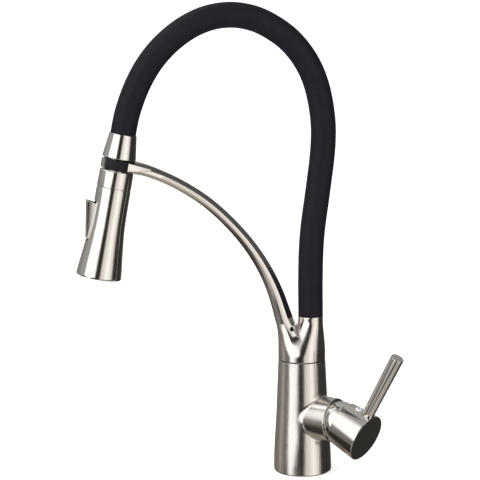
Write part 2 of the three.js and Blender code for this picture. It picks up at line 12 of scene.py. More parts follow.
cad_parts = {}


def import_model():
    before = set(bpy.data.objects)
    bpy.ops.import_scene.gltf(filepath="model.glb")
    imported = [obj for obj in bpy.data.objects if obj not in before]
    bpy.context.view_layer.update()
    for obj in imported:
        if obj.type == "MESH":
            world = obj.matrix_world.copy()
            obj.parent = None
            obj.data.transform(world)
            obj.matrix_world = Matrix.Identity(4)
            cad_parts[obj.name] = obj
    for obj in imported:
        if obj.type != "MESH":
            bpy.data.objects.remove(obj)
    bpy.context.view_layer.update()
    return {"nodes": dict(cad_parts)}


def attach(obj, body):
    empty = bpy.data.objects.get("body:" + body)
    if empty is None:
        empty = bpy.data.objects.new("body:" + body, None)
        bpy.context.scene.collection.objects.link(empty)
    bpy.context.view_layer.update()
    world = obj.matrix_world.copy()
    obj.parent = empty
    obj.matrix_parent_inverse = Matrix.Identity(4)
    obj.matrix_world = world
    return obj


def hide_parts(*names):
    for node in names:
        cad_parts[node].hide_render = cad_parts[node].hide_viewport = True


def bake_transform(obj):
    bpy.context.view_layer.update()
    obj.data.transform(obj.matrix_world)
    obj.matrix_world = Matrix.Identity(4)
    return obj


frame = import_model()

MM = 0.001
TURN = 2 * math.pi


# ---------------------------------------------------------------- camera
CAMERA_AZIMUTH = math.radians(78)
CAMERA_DISTANCE = 1500
CAMERA_HEIGHT = 500
CAMERA_PITCH = math.radians(10.14)
CAMERA_YAW = math.radians(2.27)
CAMERA_ROLL = math.radians(0.78)
FOCAL_PIXELS = 1566
FRAME_PIXELS = 480
SENSOR = 36


def make_camera():
    back = Vector((math.sin(CAMERA_AZIMUTH), -math.cos(CAMERA_AZIMUTH), 0))
    right = Vector((math.cos(CAMERA_AZIMUTH), math.sin(CAMERA_AZIMUTH), 0))
    up = Vector((0, 0, 1))
    level = -back * math.cos(CAMERA_YAW) - right * math.sin(CAMERA_YAW)
    right = right * math.cos(CAMERA_YAW) - back * math.sin(CAMERA_YAW)
    ahead = level * math.cos(CAMERA_PITCH) - up * math.sin(CAMERA_PITCH)
    up = right.cross(ahead)
    tilted_right = right * math.cos(CAMERA_ROLL) - up * math.sin(CAMERA_ROLL)
    tilted_up = up * math.cos(CAMERA_ROLL) + right * math.sin(CAMERA_ROLL)
    data = bpy.data.cameras.new("camera")
    data.sensor_width = SENSOR
    data.lens = FOCAL_PIXELS / FRAME_PIXELS * SENSOR
    data.clip_end = 20
    camera = bpy.data.objects.new("camera", data)
    turn = Matrix((tilted_right, tilted_up, -ahead)).transposed().to_4x4()
    place = (back * CAMERA_DISTANCE + Vector((0, 0, CAMERA_HEIGHT))) * MM
    camera.matrix_world = Matrix.Translation(place) @ turn
    bpy.context.scene.collection.objects.link(camera)
    bpy.context.scene.camera = camera


# ---------------------------------------------------------------- dimensions shared with the CAD
SOCKET_Y = 9
SOCKET_TOP = 155.6
SEAM_Z = 112.5
SEAM_R = 23.1
GAP = 0.3
FORK_START = 119
SOCKET_R = 12.15
LIMB_Y = -17.2
LIMB_HALF_WIDTH = 8.8
LIMB_HALF_DEPTH = 8.95
LIMB_LEAN = 0.62
HEAD_TOP = (-170.6, 339.9)
HEAD_TILT = math.radians(11.3)
VALVE_TURN = math.radians(42)
VALVE_Z = 56.2
PIVOT_X = 45.2
LEVER_TILT = math.radians(21)
INDEX_X = 15
HOUSING_R = 21.5
HOUSING_REACH = 39.8
CLIP_S = 29
CLIP_SCREW_R = 1.8
NECK_BORE = 3.6
ROCKER_PIN = (-14.2, -96)
ROCKER_PIN_R = 1.3
HOSE_R = 12.15
HOSE_BORE = 9.2
INNER_HOSE_R = 6
HOSE_ROUTE = [(9, 170), (9, 185), (9.2, 200), (9.7, 217), (10.9, 235), (12.9, 252), (15.6, 270),
              (18.4, 290), (20.8, 308), (22.3, 325), (22.6, 340), (21.6, 353), (19.3, 368), (15.2, 384),
              (9.2, 398.5), (0.5, 412.5), (-10.5, 425), (-25, 436), (-42, 444.7), (-60, 448.9),
              (-76, 448.9), (-92, 445.4), (-108, 438.2), (-122, 428.6), (-134.5, 417.2), (-146, 402.9),
              (-155, 387.5), (-162, 371.5), (-167, 356.5)]
ARM_LINE = [(-17.2, 153.4), (-26.6, 182.7), (-37.2, 205.9), (-52.3, 229.8), (-72.2, 253.4), (-94.6, 274.1),
            (-123.2, 292.7), (-148.5, 304.4), (-161.5, 308.4)]

ROOT = Matrix.Identity(4)
HEAD = Matrix.Translation((0, *HEAD_TOP)) @ Matrix.Rotation(-HEAD_TILT, 4, "X")
VALVE = Matrix.Translation((0, 0, VALVE_Z)) @ Matrix.Rotation(VALVE_TURN, 4, "Z")
LEVER = VALVE @ Matrix.Translation((PIVOT_X, 0, 0)) @ Matrix.Rotation(LEVER_TILT, 4, "Y")
ALONG_X = Matrix.Rotation(math.pi / 2, 4, "Y")
VALVE_AXIS = VALVE @ ALONG_X


# ---------------------------------------------------------------- mesh helpers
def put(name, verts, faces, matrix=ROOT):
    """A mesh object from millimetre vertices, in the row frame."""
    mesh = bpy.data.meshes.new(name)
    mesh.from_pydata([(matrix @ Vector(v)) * MM for v in verts], [], faces)
    obj = bpy.data.objects.new(name, mesh)
    bpy.context.scene.collection.objects.link(obj)
    tidy(obj)
    return obj


def tidy(obj):
    bm = bmesh.new()
    bm.from_mesh(obj.data)
    bmesh.ops.remove_doubles(bm, verts=bm.verts, dist=1e-7)
    bmesh.ops.dissolve_degenerate(bm, edges=bm.edges, dist=1e-7)
    bmesh.ops.recalc_face_normals(bm, faces=bm.faces)
    bm.to_mesh(obj.data)
    bm.free()


def fillet(points, radius, steps=5):
    """The corners of a closed outline turned into arcs of about that radius. Corners on the axis stay."""
    out = []
    count = len(points)
    for i, (x, y) in enumerate(points):
        here = Vector((x, y))
        if abs(x) < 1e-6:
            out.append((x, y))
            continue
        before = Vector(points[i - 1]) - here
        after = Vector(points[(i + 1) % count]) - here
        corner = before.angle(after)
        if corner > math.radians(172) or corner < 1e-3:
            out.append((x, y))
            continue
        reach = min(radius / math.tan(corner / 2), before.length * 0.45, after.length * 0.45)
        start = here + before.normalized() * reach
        end = here + after.normalized() * reach
        for k in range(steps + 1):
            t = k / steps
            out.append(tuple(start * (1 - t) ** 2 + here * 2 * t * (1 - t) + end * t ** 2))
    return out


def lathe(name, profile, matrix=ROOT, sides=112, radius=0.35):
    """A turned piece about Z from a closed outline of (radius, height)."""
    outline = fillet(profile, radius)
    verts, rows = [], []
    for r, z in outline:
        if r < 1e-6:
            rows.append([len(verts)] * sides)
            verts.append((0, 0, z))
            continue
        rows.append(list(range(len(verts), len(verts) + sides)))
        verts += [(r * math.cos(TURN * k / sides), r * math.sin(TURN * k / sides), z) for k in range(sides)]
    faces = []
    count = len(rows)
    for i in range(count):
        a, b = rows[i], rows[(i + 1) % count]
        if a[0] == a[1] and b[0] == b[1]:
            continue
        for k in range(sides):
            n = (k + 1) % sides
            loop = [a[k], a[n], b[n], b[k]]
            faces.append([v for j, v in enumerate(loop) if v != loop[j - 1]])
    return put(name, verts, faces, matrix)


def tube_along(name, rings, matrix=ROOT):
    """Skin over rings of equal size, with both ends closed."""
    verts = [v for ring in rings for v in ring]
    n = len(rings[0])
    faces = [[i * n + k, i * n + (k + 1) % n, (i + 1) * n + (k + 1) % n, (i + 1) * n + k]
             for i in range(len(rings) - 1) for k in range(n)]
    faces.append(list(range(n)))
    faces.append(list(range(len(verts) - n, len(verts))))
    return put(name, verts, faces, matrix)


def prism(name, verts, matrix=ROOT):
    """A solid between two outlines with the same number of points, given one after the other."""
    n = len(verts) // 2
    walls = [(k, (k + 1) % n, (k + 1) % n + n, k + n) for k in range(n)]
    return put(name, verts, [list(range(n)), list(range(n, 2 * n)), *walls], matrix)


def block(name, size, centre, matrix=ROOT):
    half = Vector(size) / 2
    verts = [Vector(centre) + Vector((x * half.x, y * half.y, z * half.z))
             for x in (-1, 1) for y in (-1, 1) for z in (-1, 1)]
    faces = [(0, 1, 3, 2), (4, 6, 7, 5), (0, 4, 5, 1), (2, 3, 7, 6), (0, 2, 6, 4), (1, 5, 7, 3)]
    return put(name, verts, faces, matrix)


def turned(name, profile, matrix=ROOT, sides=96):
    """A turned piece with its corners left sharp, as the tools that cut have."""
    return lathe(name, profile, matrix, sides, 0)


def rod(name, start, end, r0, r1, matrix=ROOT):
    """A straight round bar between two points, for cutting with."""
    a, b = Vector(start), Vector(end)
    turn = (b - a).to_track_quat("Z", "Y").to_matrix().to_4x4()
    profile = [(0, 0), (r0, 0), (r1, (b - a).length), (0, (b - a).length)]
    return turned(name, profile, matrix @ Matrix.Translation(a) @ turn, 48)


def combine(obj, tools, operation="DIFFERENCE"):
    """Boolean with a list of tools, which are used up."""
    for tool in tools:
        change = obj.modifiers.new("boolean", "BOOLEAN")
        change.operation = operation
        change.solver = "EXACT"
        change.object = tool
    apply_modifiers(obj)
    for tool in tools:
        bpy.data.objects.remove(tool, do_unlink=True)
    return obj


def apply_modifiers(obj):
    bpy.context.view_layer.update()
    seen = obj.evaluated_get(bpy.context.evaluated_depsgraph_get())
    mesh = bpy.data.meshes.new_from_object(seen)
    obj.modifiers.clear()
    old = obj.data
    obj.data = mesh
    mesh.name = old.name
    bpy.data.meshes.remove(old)


def bevel(obj, width, segments=3, angle=35):
    """Rounds the sharp edges for good."""
    change = obj.modifiers.new("bevel", "BEVEL")
    change.width = width * MM
    change.segments = segments
    change.limit_method = "ANGLE"
    change.angle_limit = math.radians(angle)
    apply_modifiers(obj)
    return obj


def smooth(obj, angle=32):
    tidy(obj)
    mesh = obj.data
    mesh.polygons.foreach_set("use_smooth", [True] * len(mesh.polygons))
    mesh.set_sharp_from_angle(angle=math.radians(angle))
    return obj


def smooth_union(a, b, k):
    """Distance to two forms joined, rounded where they differ by less than k, and the rounding's share."""
    if k <= 0:
        return min(a, b), 0
    h = max(k - abs(a - b), 0) / k
    return min(a, b) - h * h * k / 4, h


def blend_crease(obj, first, second, width):
    """Fills the crease between two joined forms: vertices near it move out onto their smooth union."""
    step = 0.02
    steps = (Vector((step, 0, 0)), Vector((0, step, 0)), Vector((0, 0, step)))
    off_surface = 0.25
    least_slope = 0.2

    def field(p):
        return smooth_union(first(p), second(p), width(p))

    for v in obj.data.vertices:
        p = Vector(v.co) / MM
        if abs(min(first(p), second(p))) > off_surface:
            continue
        for _ in range(3):
            value, share = field(p)
            if share == 0:
                break
            slope = Vector([(field(p + d)[0] - field(p - d)[0]) / (2 * step) for d in steps])
            p = p - slope * (value / max(slope.length_squared, least_slope))
        v.co = p * MM


def ease(z, low, high):
    """A smooth rise from 0 at low to 1 at high."""
    t = min(max((z - low) / (high - low), 0), 1)
    return t * t * (3 - 2 * t)


def lerp(a, b, t):
    return a + (b - a) * t


def catmull(points, per_span):
    """Centripetal Catmull-Rom through points in the plane X = 0, as three.js draws it."""
    pts = [Vector((0, y, z)) for y, z in points]
    pts = [pts[0] * 2 - pts[1], *pts, pts[-1] * 2 - pts[-2]]
    out = []
    for i in range(1, len(pts) - 2):
        p0, p1, p2, p3 = pts[i - 1:i + 3]
        t0 = 0
        t1 = t0 + (p1 - p0).length ** 0.5
        t2 = t1 + (p2 - p1).length ** 0.5
        t3 = t2 + (p3 - p2).length ** 0.5
        for k in range(per_span):
            t = lerp(t1, t2, k / per_span)
            a1 = p0 * ((t1 - t) / (t1 - t0)) + p1 * ((t - t0) / (t1 - t0))
            a2 = p1 * ((t2 - t) / (t2 - t1)) + p2 * ((t - t1) / (t2 - t1))
            a3 = p2 * ((t3 - t) / (t3 - t2)) + p3 * ((t - t2) / (t3 - t2))
            b1 = a1 * ((t2 - t) / (t2 - t0)) + a2 * ((t - t0) / (t2 - t0))
            b2 = a2 * ((t3 - t) / (t3 - t1)) + a3 * ((t - t1) / (t3 - t1))
            out.append(b1 * ((t2 - t) / (t2 - t1)) + b2 * ((t - t1) / (t2 - t1)))
    out.append(pts[-2])
    return out


# ---------------------------------------------------------------- materials
def new_material(name):
    material = bpy.data.materials.new(name)
    material.use_nodes = True
    tree = material.node_tree
    return material, tree, tree.nodes["Principled BSDF"]


def add(tree, kind, **inputs):
    node = tree.nodes.new(kind)
    for key, value in inputs.items():
        socket = node.inputs[key.replace("_", " ")]
        if isinstance(value, bpy.types.NodeSocket):
            tree.links.new(value, socket)
        else:
            socket.default_value = value
    return node


def calculate(tree, operation, *values):
    node = tree.nodes.new("ShaderNodeMath")
    node.operation = operation
    for i, value in enumerate(values):
        if isinstance(value, bpy.types.NodeSocket):
            tree.links.new(value, node.inputs[i])
        else:
            node.inputs[i].default_value = value
    return node.outputs[0]


def scaled_coordinates(tree, scale):
    where = tree.nodes.new("ShaderNodeTexCoord")
    return add(tree, "ShaderNodeMapping", Vector=where.outputs["Object"], Scale=scale).outputs["Vector"]


def noise_at(tree, scale, size, detail=3.0, roughness=0.55):
    """Noise with features of about size metres, stretched by scale."""
    vector = scaled_coordinates(tree, scale)
    return add(tree, "ShaderNodeTexNoise", Vector=vector, Scale=1 / size, Detail=detail,
               Roughness=roughness).outputs["Fac"]


def spread(tree, value, low, high, start=0.3, end=0.7):
    node = add(tree, "ShaderNodeMapRange", Value=value)
    for key, number in (("From Min", start), ("From Max", end), ("To Min", low), ("To Max", high)):
        node.inputs[key].default_value = number
    return node.outputs["Result"]


def two_tone(tree, fac, dark, light):
    mix = tree.nodes.new("ShaderNodeMix")
    mix.data_type = "RGBA"
    tree.links.new(fac, mix.inputs["Factor"])
    mix.inputs["A"].default_value = (*dark, 1)
    mix.inputs["B"].default_value = (*light, 1)
    return mix.outputs["Result"]


def metal(name, colour, rough, grain=(1, 1, 0.03), grain_depth=0.12, wear=0.06):
    """Metal with a brushed grain along one direction, faint smudges and a little tarnish."""
    material, tree, shader = new_material(name)
    shader.inputs["Metallic"].default_value = 1
    streaks = noise_at(tree, grain, 0.00025, 2)
    smudges = noise_at(tree, (1, 1, 1), 0.011, 4)
    darker = tuple(c * (1 - wear) for c in colour)
    tree.links.new(two_tone(tree, smudges, darker, colour), shader.inputs["Base Color"])
    both = calculate(tree, "MULTIPLY_ADD", streaks, 0.45, smudges)
    tree.links.new(spread(tree, both, rough * 0.8, rough * 1.25, 0.5, 0.95), shader.inputs["Roughness"])
    fine = add(tree, "ShaderNodeBump", Strength=grain_depth, Distance=0.00006, Height=streaks)
    strokes = noise_at(tree, (grain[0], grain[1], grain[2] * 1.6), 0.0011, 1)
    bump = add(tree, "ShaderNodeBump", Strength=grain_depth * 2, Distance=0.00009, Height=strokes,
               Normal=fine.outputs["Normal"])
    tree.links.new(bump.outputs["Normal"], shader.inputs["Normal"])
    return material


def plastic(name, dark, light, rough, size, depth, distance=0.00015, specular=0.5):
    """Moulded plastic or rubber: fine texture in colour, gloss and height."""
    material, tree, shader = new_material(name)
    shader.inputs["Specular IOR Level"].default_value = specular
    grain = noise_at(tree, (1, 1, 1), size, 4, 0.6)
    patches = noise_at(tree, (1, 1, 1), size * 22, 3)
    tree.links.new(two_tone(tree, spread(tree, patches, 0, 1), dark, light), shader.inputs["Base Color"])
    tree.links.new(spread(tree, grain, rough * 0.85, rough * 1.15), shader.inputs["Roughness"])
    bump = add(tree, "ShaderNodeBump", Strength=depth, Distance=distance, Height=grain)
    tree.links.new(bump.outputs["Normal"], shader.inputs["Normal"])
    return material


def index_enamel():
    """White with a dark blue dot in the middle of the plug."""
    material, tree, shader = new_material("index_enamel")
    blue, white = (0.01, 0.03, 0.22), (0.86, 0.87, 0.9)
    away = tree.nodes.new("ShaderNodeVectorMath")
    away.operation = "DISTANCE"
    tree.links.new(scaled_coordinates(tree, (1000, 1000, 1000)), away.inputs[0])
    away.inputs[1].default_value = LEVER @ Vector((INDEX_X, 0, 22.9))
    speck = noise_at(tree, (1, 1, 1), 0.0008, 2)
    edge = calculate(tree, "MULTIPLY_ADD", speck, 0.2, away.outputs["Value"])
    colour = two_tone(tree, spread(tree, edge, 0, 1, 1.25, 1.45), blue, white)
    tree.links.new(colour, shader.inputs["Base Color"])
    tree.links.new(spread(tree, speck, 0.1, 0.2), shader.inputs["Roughness"])
    return material


BRUSHED = metal("brushed_nickel", (0.83, 0.795, 0.76), 0.17, (1, 1, 0.03), 0.26)
SATIN = metal("satin_nickel", (0.83, 0.80, 0.765), 0.16, (0.3, 0.3, 0.3), 0.1)
CAP_METAL = metal("cap_nickel_finish", (0.84, 0.81, 0.775), 0.1, (0.3, 0.3, 0.3), 0.06)
BRUSHED_ROUND = metal("brushed_nickel_along", (0.84, 0.81, 0.775), 0.13, (1, 1, 0.03), 0.1)
POLISHED = metal("polished_nickel", (0.87, 0.855, 0.83), 0.075, (1, 1, 0.2), 0.03, 0.03)
HEAD_METAL = metal("head_nickel", (0.85, 0.83, 0.80), 0.11, (1, 1, 0.05), 0.05, 0.03)
BRASS = metal("machined_brass", (0.69, 0.50, 0.24), 0.26, (0.1, 0.1, 3), 0.2, 0.15)
STEEL = metal("machined_steel", (0.52, 0.52, 0.54), 0.24, (0.1, 0.1, 3), 0.2, 0.08)
BLACK_STEEL = metal("black_oxide_steel", (0.045, 0.043, 0.042), 0.32, (1, 1, 1), 0.05)
SILICONE = plastic("silicone_black", (0.0075, 0.0069, 0.0108), (0.0098, 0.0091, 0.0136), 0.55, 0.0004, 0.25,
                   specular=0.15)
NYLON = plastic("nylon_black", (0.003, 0.0028, 0.0038), (0.016, 0.015, 0.0185), 0.5, 0.0007, 0.9,
                distance=0.0004, specular=0.16)
RUBBER = plastic("rubber_black", (0.014, 0.014, 0.015), (0.022, 0.022, 0.024), 0.7, 0.0005, 0.4)
ACETAL = plastic("acetal_white", (0.74, 0.73, 0.70), (0.82, 0.81, 0.78), 0.3, 0.0006, 0.2)
GREY = plastic("grey_plastic", (0.10, 0.10, 0.105), (0.13, 0.13, 0.135), 0.42, 0.0005, 0.4)
INDEX = index_enamel()


def finish(obj, body, material, slot, *nodes, angle=32):
    """Everything a visible piece needs: shading, its body, its material and what it stands for."""
    smooth(obj, angle)
    obj.data.materials.clear()
    obj.data.materials.append(material)
    if body:
        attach(obj, body)
    if nodes:
        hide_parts(*nodes)
    return obj


# ---------------------------------------------------------------- body with its valve housing
BODY_PROFILE = [(28.5, 1.2), (28.3, 12), (27.5, 30), (25.9, 53), (24.6, 80), (23.7, 100),
                (SEAM_R, SEAM_Z - 0.15)]
HOUSING_FILLET = 1.6


def smooth_profile(points, per_span=6):
    """The same outline with a soft curve through its points."""
    return [(p.y, p.z) for p in catmull(points, per_span)]


BODY_CURVE = smooth_profile(BODY_PROFILE, 20)


def body_radius(z):
    for (r0, z0), (r1, z1) in zip(BODY_CURVE, BODY_CURVE[1:]):
        if z0 <= z <= z1:
            return lerp(r0, r1, (z - z0) / (z1 - z0))
    return BODY_CURVE[-1][0] if z > BODY_CURVE[-1][1] else BODY_CURVE[0][0]


def main_body():
    profile = [(0, 0), (27.9, 0), (28.35, 0.35), *BODY_CURVE, (SEAM_R - 0.15, SEAM_Z), (0, SEAM_Z)]
    body = lathe("body_casting", profile, sides=160, radius=0)
    along = [(HOUSING_R, 4 + k) for k in range(36)]
    rim = [(HOUSING_R, HOUSING_REACH - 0.5), (HOUSING_R - 0.2, HOUSING_REACH - 0.12),
           (HOUSING_R - 0.6, HOUSING_REACH), (0, HOUSING_REACH)]
    combine(body, [turned("side", [(0, 4), *along, *rim], VALVE_AXIS, 160)], "UNION")
    inwards = VALVE_AXIS.inverted()

    def from_column(p):
        return math.hypot(p.x, p.y) - body_radius(p.z)

    def from_housing(p):
        q = inwards @ p
        return max(math.hypot(q.x, q.y) - HOUSING_R, -q.z, q.z - HOUSING_REACH)

    blend_crease(body, from_column, from_housing, lambda p: HOUSING_FILLET)
    tools = [
        turned("seat", [(0, 13.7), (17.6, 13.7), (17.6, 36), (0, 36)], VALVE_AXIS),
        turned("mouth", [(0, 34), (18.6, 34), (18.6, 38.9), (19.2, HOUSING_REACH + 1),
                         (0, HOUSING_REACH + 1)], VALVE_AXIS),
        turned("hollow", [(0, 12), (19, 12), (19, 34), (0, 34)]),
        turned("passage", [(0, 8.5), (14.2, 8.5), (14.2, 13), (0, 13)]),
        turned("thread", [(0, -1), (16.8, -1), (16.3, 0.5), (16.3, 9), (0, 9)]),
        turned("gasket_seat", [(20.2, -1), (25.7, -1), (25.7, 2), (20.2, 2)]),
        turned("spigot_seat", [(0, 93.7), (12.3, 93.7), (12.3, SEAM_Z + 1), (0, SEAM_Z + 1)]),
    ]
    for side in (-1, 1):
        tools.append(rod("riser", (0, side * 6.2, 33), (0, side * 6.2, 41), 5.3, 5.3))
    combine(body, tools)
    finish(body, "faucet_base", BRUSHED, "brushed_nickel", "main_body")
    # the housing is satin, without the column's brushed grain
    body.data.materials.append(SATIN)
    for face in body.data.polygons:
        middle = face.center / MM
        if from_column(middle) > 0.05 and from_housing(middle) > -0.3:
            face.material_index = 1


# ---------------------------------------------------------------- swivelling body and arm
ARM_HALF_DEPTH = (8.55, 5.25)
ARM_HALF_WIDTH = (8.8, 5.4)
FLARE_START = 0.875
FLARE = 9
# the yoke's wedge in the head's frame: (half width, distance behind the head's axis, half height)
YOKE_TIP = (16.75, 8, 4)
YOKE_ROOT = (9.4, 31, 1.2)
# half of the arm's section, as shares of its half width and half depth: outer flat, chamfer, crowned side,
# two inner chamfers, inner flat
RIDGES = [(0.06, 1), (0.95, 0.24), (1, -0.36), (0.88, -0.64), (0.59, -0.97), (0.35, -1)]
CROWN = [(0.975, 0.11), (0.99, -0.04), (0.999, -0.2)]
# the heights by which the inner and the outer side of the section have become facets
FACETS_FULL = (160, 148)
SOCKET_FULL = 152
LIMB_FULL = 153
LIMB = (LIMB_Y, LIMB_HALF_WIDTH, LIMB_HALF_DEPTH, LIMB_FULL)
# how much earlier than the socket the front limb gets thin
LIMB_HASTE = 1.4
# the slices of the arm turn from level to square between these heights
TILT_START = 152
TILT_END = 166
REACH_STEPS = 720


def section_outline():
    half = [*RIDGES[:2], *CROWN, *RIDGES[2:]]
    return fillet([*half, *[(-x, y) for x, y in reversed(half)]], 0.035, steps=3)


def section_angles():
    """Angles round the section, with some close together at each ridge."""
    ridges = [math.atan2(y, x * side) % TURN for x, y in RIDGES for side in (-1, 1)]
    close = math.radians(1.2)
    even = [k * TURN / 96 for k in range(96)]
    clear = [a for a in even
             if all(abs((a - r + math.pi) % TURN - math.pi) > close * 2.4 for r in ridges)]
    return sorted(clear + [r + d for r in ridges for d in (-2 * close, -close, 0, close, 2 * close)])


def facet_reach(angle, outline):
    """Distance from the middle to the section's outline."""
    d = Vector((math.cos(angle), math.sin(angle)))
    best = 0
    for i, start in enumerate(outline):
        a, b = Vector(start), Vector(outline[(i + 1) % len(outline)])
        edge = b - a
        crossing = d.x * edge.y - d.y * edge.x
        if abs(crossing) < 1e-12:
            continue
        along = (a.x * edge.y - a.y * edge.x) / crossing
        share = (a.x * d.y - a.y * d.x) / crossing
        if along > 0 and -1e-6 <= share <= 1 + 1e-6:
            best = max(best, along)
    return best


def lean(z, low, high, slope):
    """A rise from 0 at low to 1 at high, which goes on with the given slope."""
    s = max((z - low) / (high - low), 0)
    return (3 - slope) * s ** 2 + (slope - 2) * s ** 3 if s < 1 else 1 + slope * (s - 1)


def faceted(z, angle):
    """How far the limb's section has changed from an ellipse, 0, to the arm's facets, 1."""
    inner, outer = (ease(z, FORK_START, full) for full in FACETS_FULL)
    return lerp(inner, outer, ease(math.sin(angle), -0.2, 0.2))


def limb_slice(z, shift, half_x, half_y, full):
    """Middle and half sizes of a limb's level section. The front limb keeps its front edge as it thins."""
    t = ease(z, FORK_START, full)
    if shift > 0:
        return shift * t, lerp(SEAM_R, half_x, t), lerp(SEAM_R, half_y, t)
    edge = shift * lean(z, FORK_START, full, LIMB_LEAN) - lerp(SEAM_R, half_y, t)
    t += LIMB_HASTE * t * (1 - t) ** 2
    half_y = lerp(SEAM_R, half_y, t)
    return edge + half_y, lerp(SEAM_R, half_x, t), half_y


def swivel_body():
    angles = section_angles()
    outline = section_outline()
    reach = [facet_reach(a, outline) for a in angles]
    bottom = SEAM_Z + GAP + 0.3

    def ring(z, inset=0.0):
        y, a, b = limb_slice(z, SOCKET_Y, SOCKET_R, SOCKET_R, SOCKET_FULL)
        return [((a - inset) * math.cos(t), y + (b - inset) * math.sin(t), z) for t in angles]

    def limb_ring(z, inset=0.0):
        y, a, b = limb_slice(z, *LIMB)
        scale = [lerp(1, r, faceted(z, t)) for t, r in zip(angles, reach)]
        return [((a - inset) * k * math.cos(t), y + (b - inset) * k * math.sin(t), z)
                for t, k in zip(angles, scale)]

    socket = [ring(bottom + 0.02, 0.5), ring(bottom + 0.4, 0.06)]
    z = bottom + 1
    while z < SOCKET_TOP - 1:
        socket.append(ring(z, 0.06 * (1 - ease(z, 117, 121))))
        z += 1
    socket += [ring(SOCKET_TOP - 0.3), ring(SOCKET_TOP - 0.08, 0.08), ring(SOCKET_TOP, 0.3)]
    back = tube_along("socket", socket)

    # the front limb runs on into the arm: level slices first, then slices square to the arm
    line = catmull(ARM_LINE, 12)
    lengths = [0]
    for p, q in zip(line, line[1:]):
        lengths.append(lengths[-1] + (q - p).length)
    front = [limb_ring(bottom, 0.4), limb_ring(bottom + 0.12, 0.12), limb_ring(bottom + 0.4)]
    z = bottom + 1
    while z < TILT_START:
        front.append(limb_ring(z))
        z += 1
    for z in range(TILT_START, TILT_END):
        centre, way, share = arm_station(line, lengths, z)
        turn = ease(z, TILT_START - 1, TILT_END)
        front.append(arm_ring(centre, Vector((0, 0, 1)).lerp(way, turn), way, share, angles, reach))
    for i, p in enumerate(line):
        if p.z < TILT_END:
            continue
        way = (line[min(i + 1, len(line) - 1)] - line[max(i - 1, 0)]).normalized()
        front.append(arm_ring(p, way, way, lengths[i] / lengths[-1], angles, reach))
    casting = tube_along("swivel_casting", front)
    combine(casting, [back], "UNION")

    def from_socket(p):
        y, a, b = limb_slice(p.z, SOCKET_Y, SOCKET_R, SOCKET_R, SOCKET_FULL)
        return (math.hypot(p.x / a, (p.y - y) / b) - 1) * min(a, b)

    table = [facet_reach(k * TURN / REACH_STEPS, outline) for k in range(REACH_STEPS + 1)]

    def from_limb(p):
        y, a, b = limb_slice(p.z, *LIMB)
        t = math.atan2((p.y - y) / b, p.x / a) % TURN
        place = t / TURN * REACH_STEPS
        k = int(place)
        scale = lerp(1, lerp(table[k], table[k + 1], place - k), faceted(p.z, t))
        return (math.hypot(p.x / a, (p.y - y) / b) / scale - 1) * min(a, b)

    def width(p):
        """The crotch's fillet: wide low down, narrow between the limbs, and gone at the socket's top."""
        apart = (SOCKET_Y - LIMB_Y) * ease(p.z, FORK_START, 151)
        return min(lerp(6, 1.6, ease(p.z, 136, 143)), 0.33 * apart) * (1 - ease(p.z, 147, 151))

    blend_crease(casting, from_socket, from_limb, width)
    tools = [
        turned("swivel_bore", [(0, 110), (14.4, 110), (14.4, 132.5), (0, 132.5)]),
        turned("glide_seat", [(0, 110), (20.9, 110), (20.9, 114.5), (0, 114.5)]),
        rod("channel", (0, 0, 130.5), (0, SOCKET_Y, 149), 4.2, 4.2),
        rod("socket_bore", (0, SOCKET_Y, 144.5), (0, SOCKET_Y, SOCKET_TOP + 1), 8.3, 8.3),
        turned("head_space", [(0, -49), (16.7, -49), (16.7, -9), (0, -9)], HEAD, 112),
        rod("set_screw_hole", (3.5, -12, 145), (14, -12, 145), 2.2, 2.2),
    ]
    combine(casting, tools)
    corners = [YOKE_TIP, YOKE_ROOT]
    corners += [(-x, y, half) for x, y, half in reversed(corners)]
    yoke = prism("yoke", [(x, y, side * half - CLIP_S) for side in (-1, 1) for x, y, half in corners], HEAD)
    combine(yoke, [turned("clip_space", [(0, -49), (15.9, -49), (15.9, -9), (0, -9)], HEAD, 160)])
    bevel(yoke, 0.7, 3)
    combine(casting, [yoke], "UNION")
    screw_hole = rod("screw_hole", (0, 12, -CLIP_S), (0, 24, -CLIP_S), CLIP_SCREW_R, CLIP_SCREW_R, HEAD)
    combine(casting, [screw_hole])
    finish(casting, "spout", BRUSHED_ROUND, "brushed_nickel", "spout_body", "support_arm")


def arm_station(line, lengths, z):
    """Middle of the limb or arm at a height, its direction there, and its share of the arm's length."""
    if z < line[0].z:
        y = LIMB_Y * lean(z, FORK_START, LIMB_FULL, LIMB_LEAN)
        rise = LIMB_Y * lean(z + 0.5, FORK_START, LIMB_FULL, LIMB_LEAN) - y
        return Vector((0, y, z)), Vector((0, rise, 0.5)).normalized(), 0
    i = max(k for k, p in enumerate(line[:-1]) if p.z <= z)
    t = (z - line[i].z) / (line[i + 1].z - line[i].z)
    share = lerp(lengths[i], lengths[i + 1], t) / lengths[-1]
    return line[i].lerp(line[i + 1], t), (line[i + 1] - line[i]).normalized(), share


def arm_ring(centre, upright, way, u, angles, reach):
    """One slice of the arm, square to upright; way is where the arm goes."""
    out_dir = Vector((0, upright.z, -upright.y)).normalized()
    slant = out_dir.dot(Vector((0, way.z, -way.y)))
    a = lerp(*ARM_HALF_WIDTH, u)
    b = lerp(*ARM_HALF_DEPTH, 1 - (1 - u) ** 3) / slant
    flare = FLARE * max(u - FLARE_START, 0) / (1 - FLARE_START)
    ring = []
    for t, r in zip(angles, reach):
        k = lerp(1, r, faceted(centre.z, t))
        across = a * k * math.cos(t)
        across += math.copysign(flare, across) if abs(across) > 0.01 else 0
        ring.append(centre + Vector((across, 0, 0)) + out_dir * (b * k * math.sin(t)))
    return ring


# ---------------------------------------------------------------- hose
def route(first, last, per_span=5):
    return catmull([first, *HOSE_ROUTE, last], per_span)


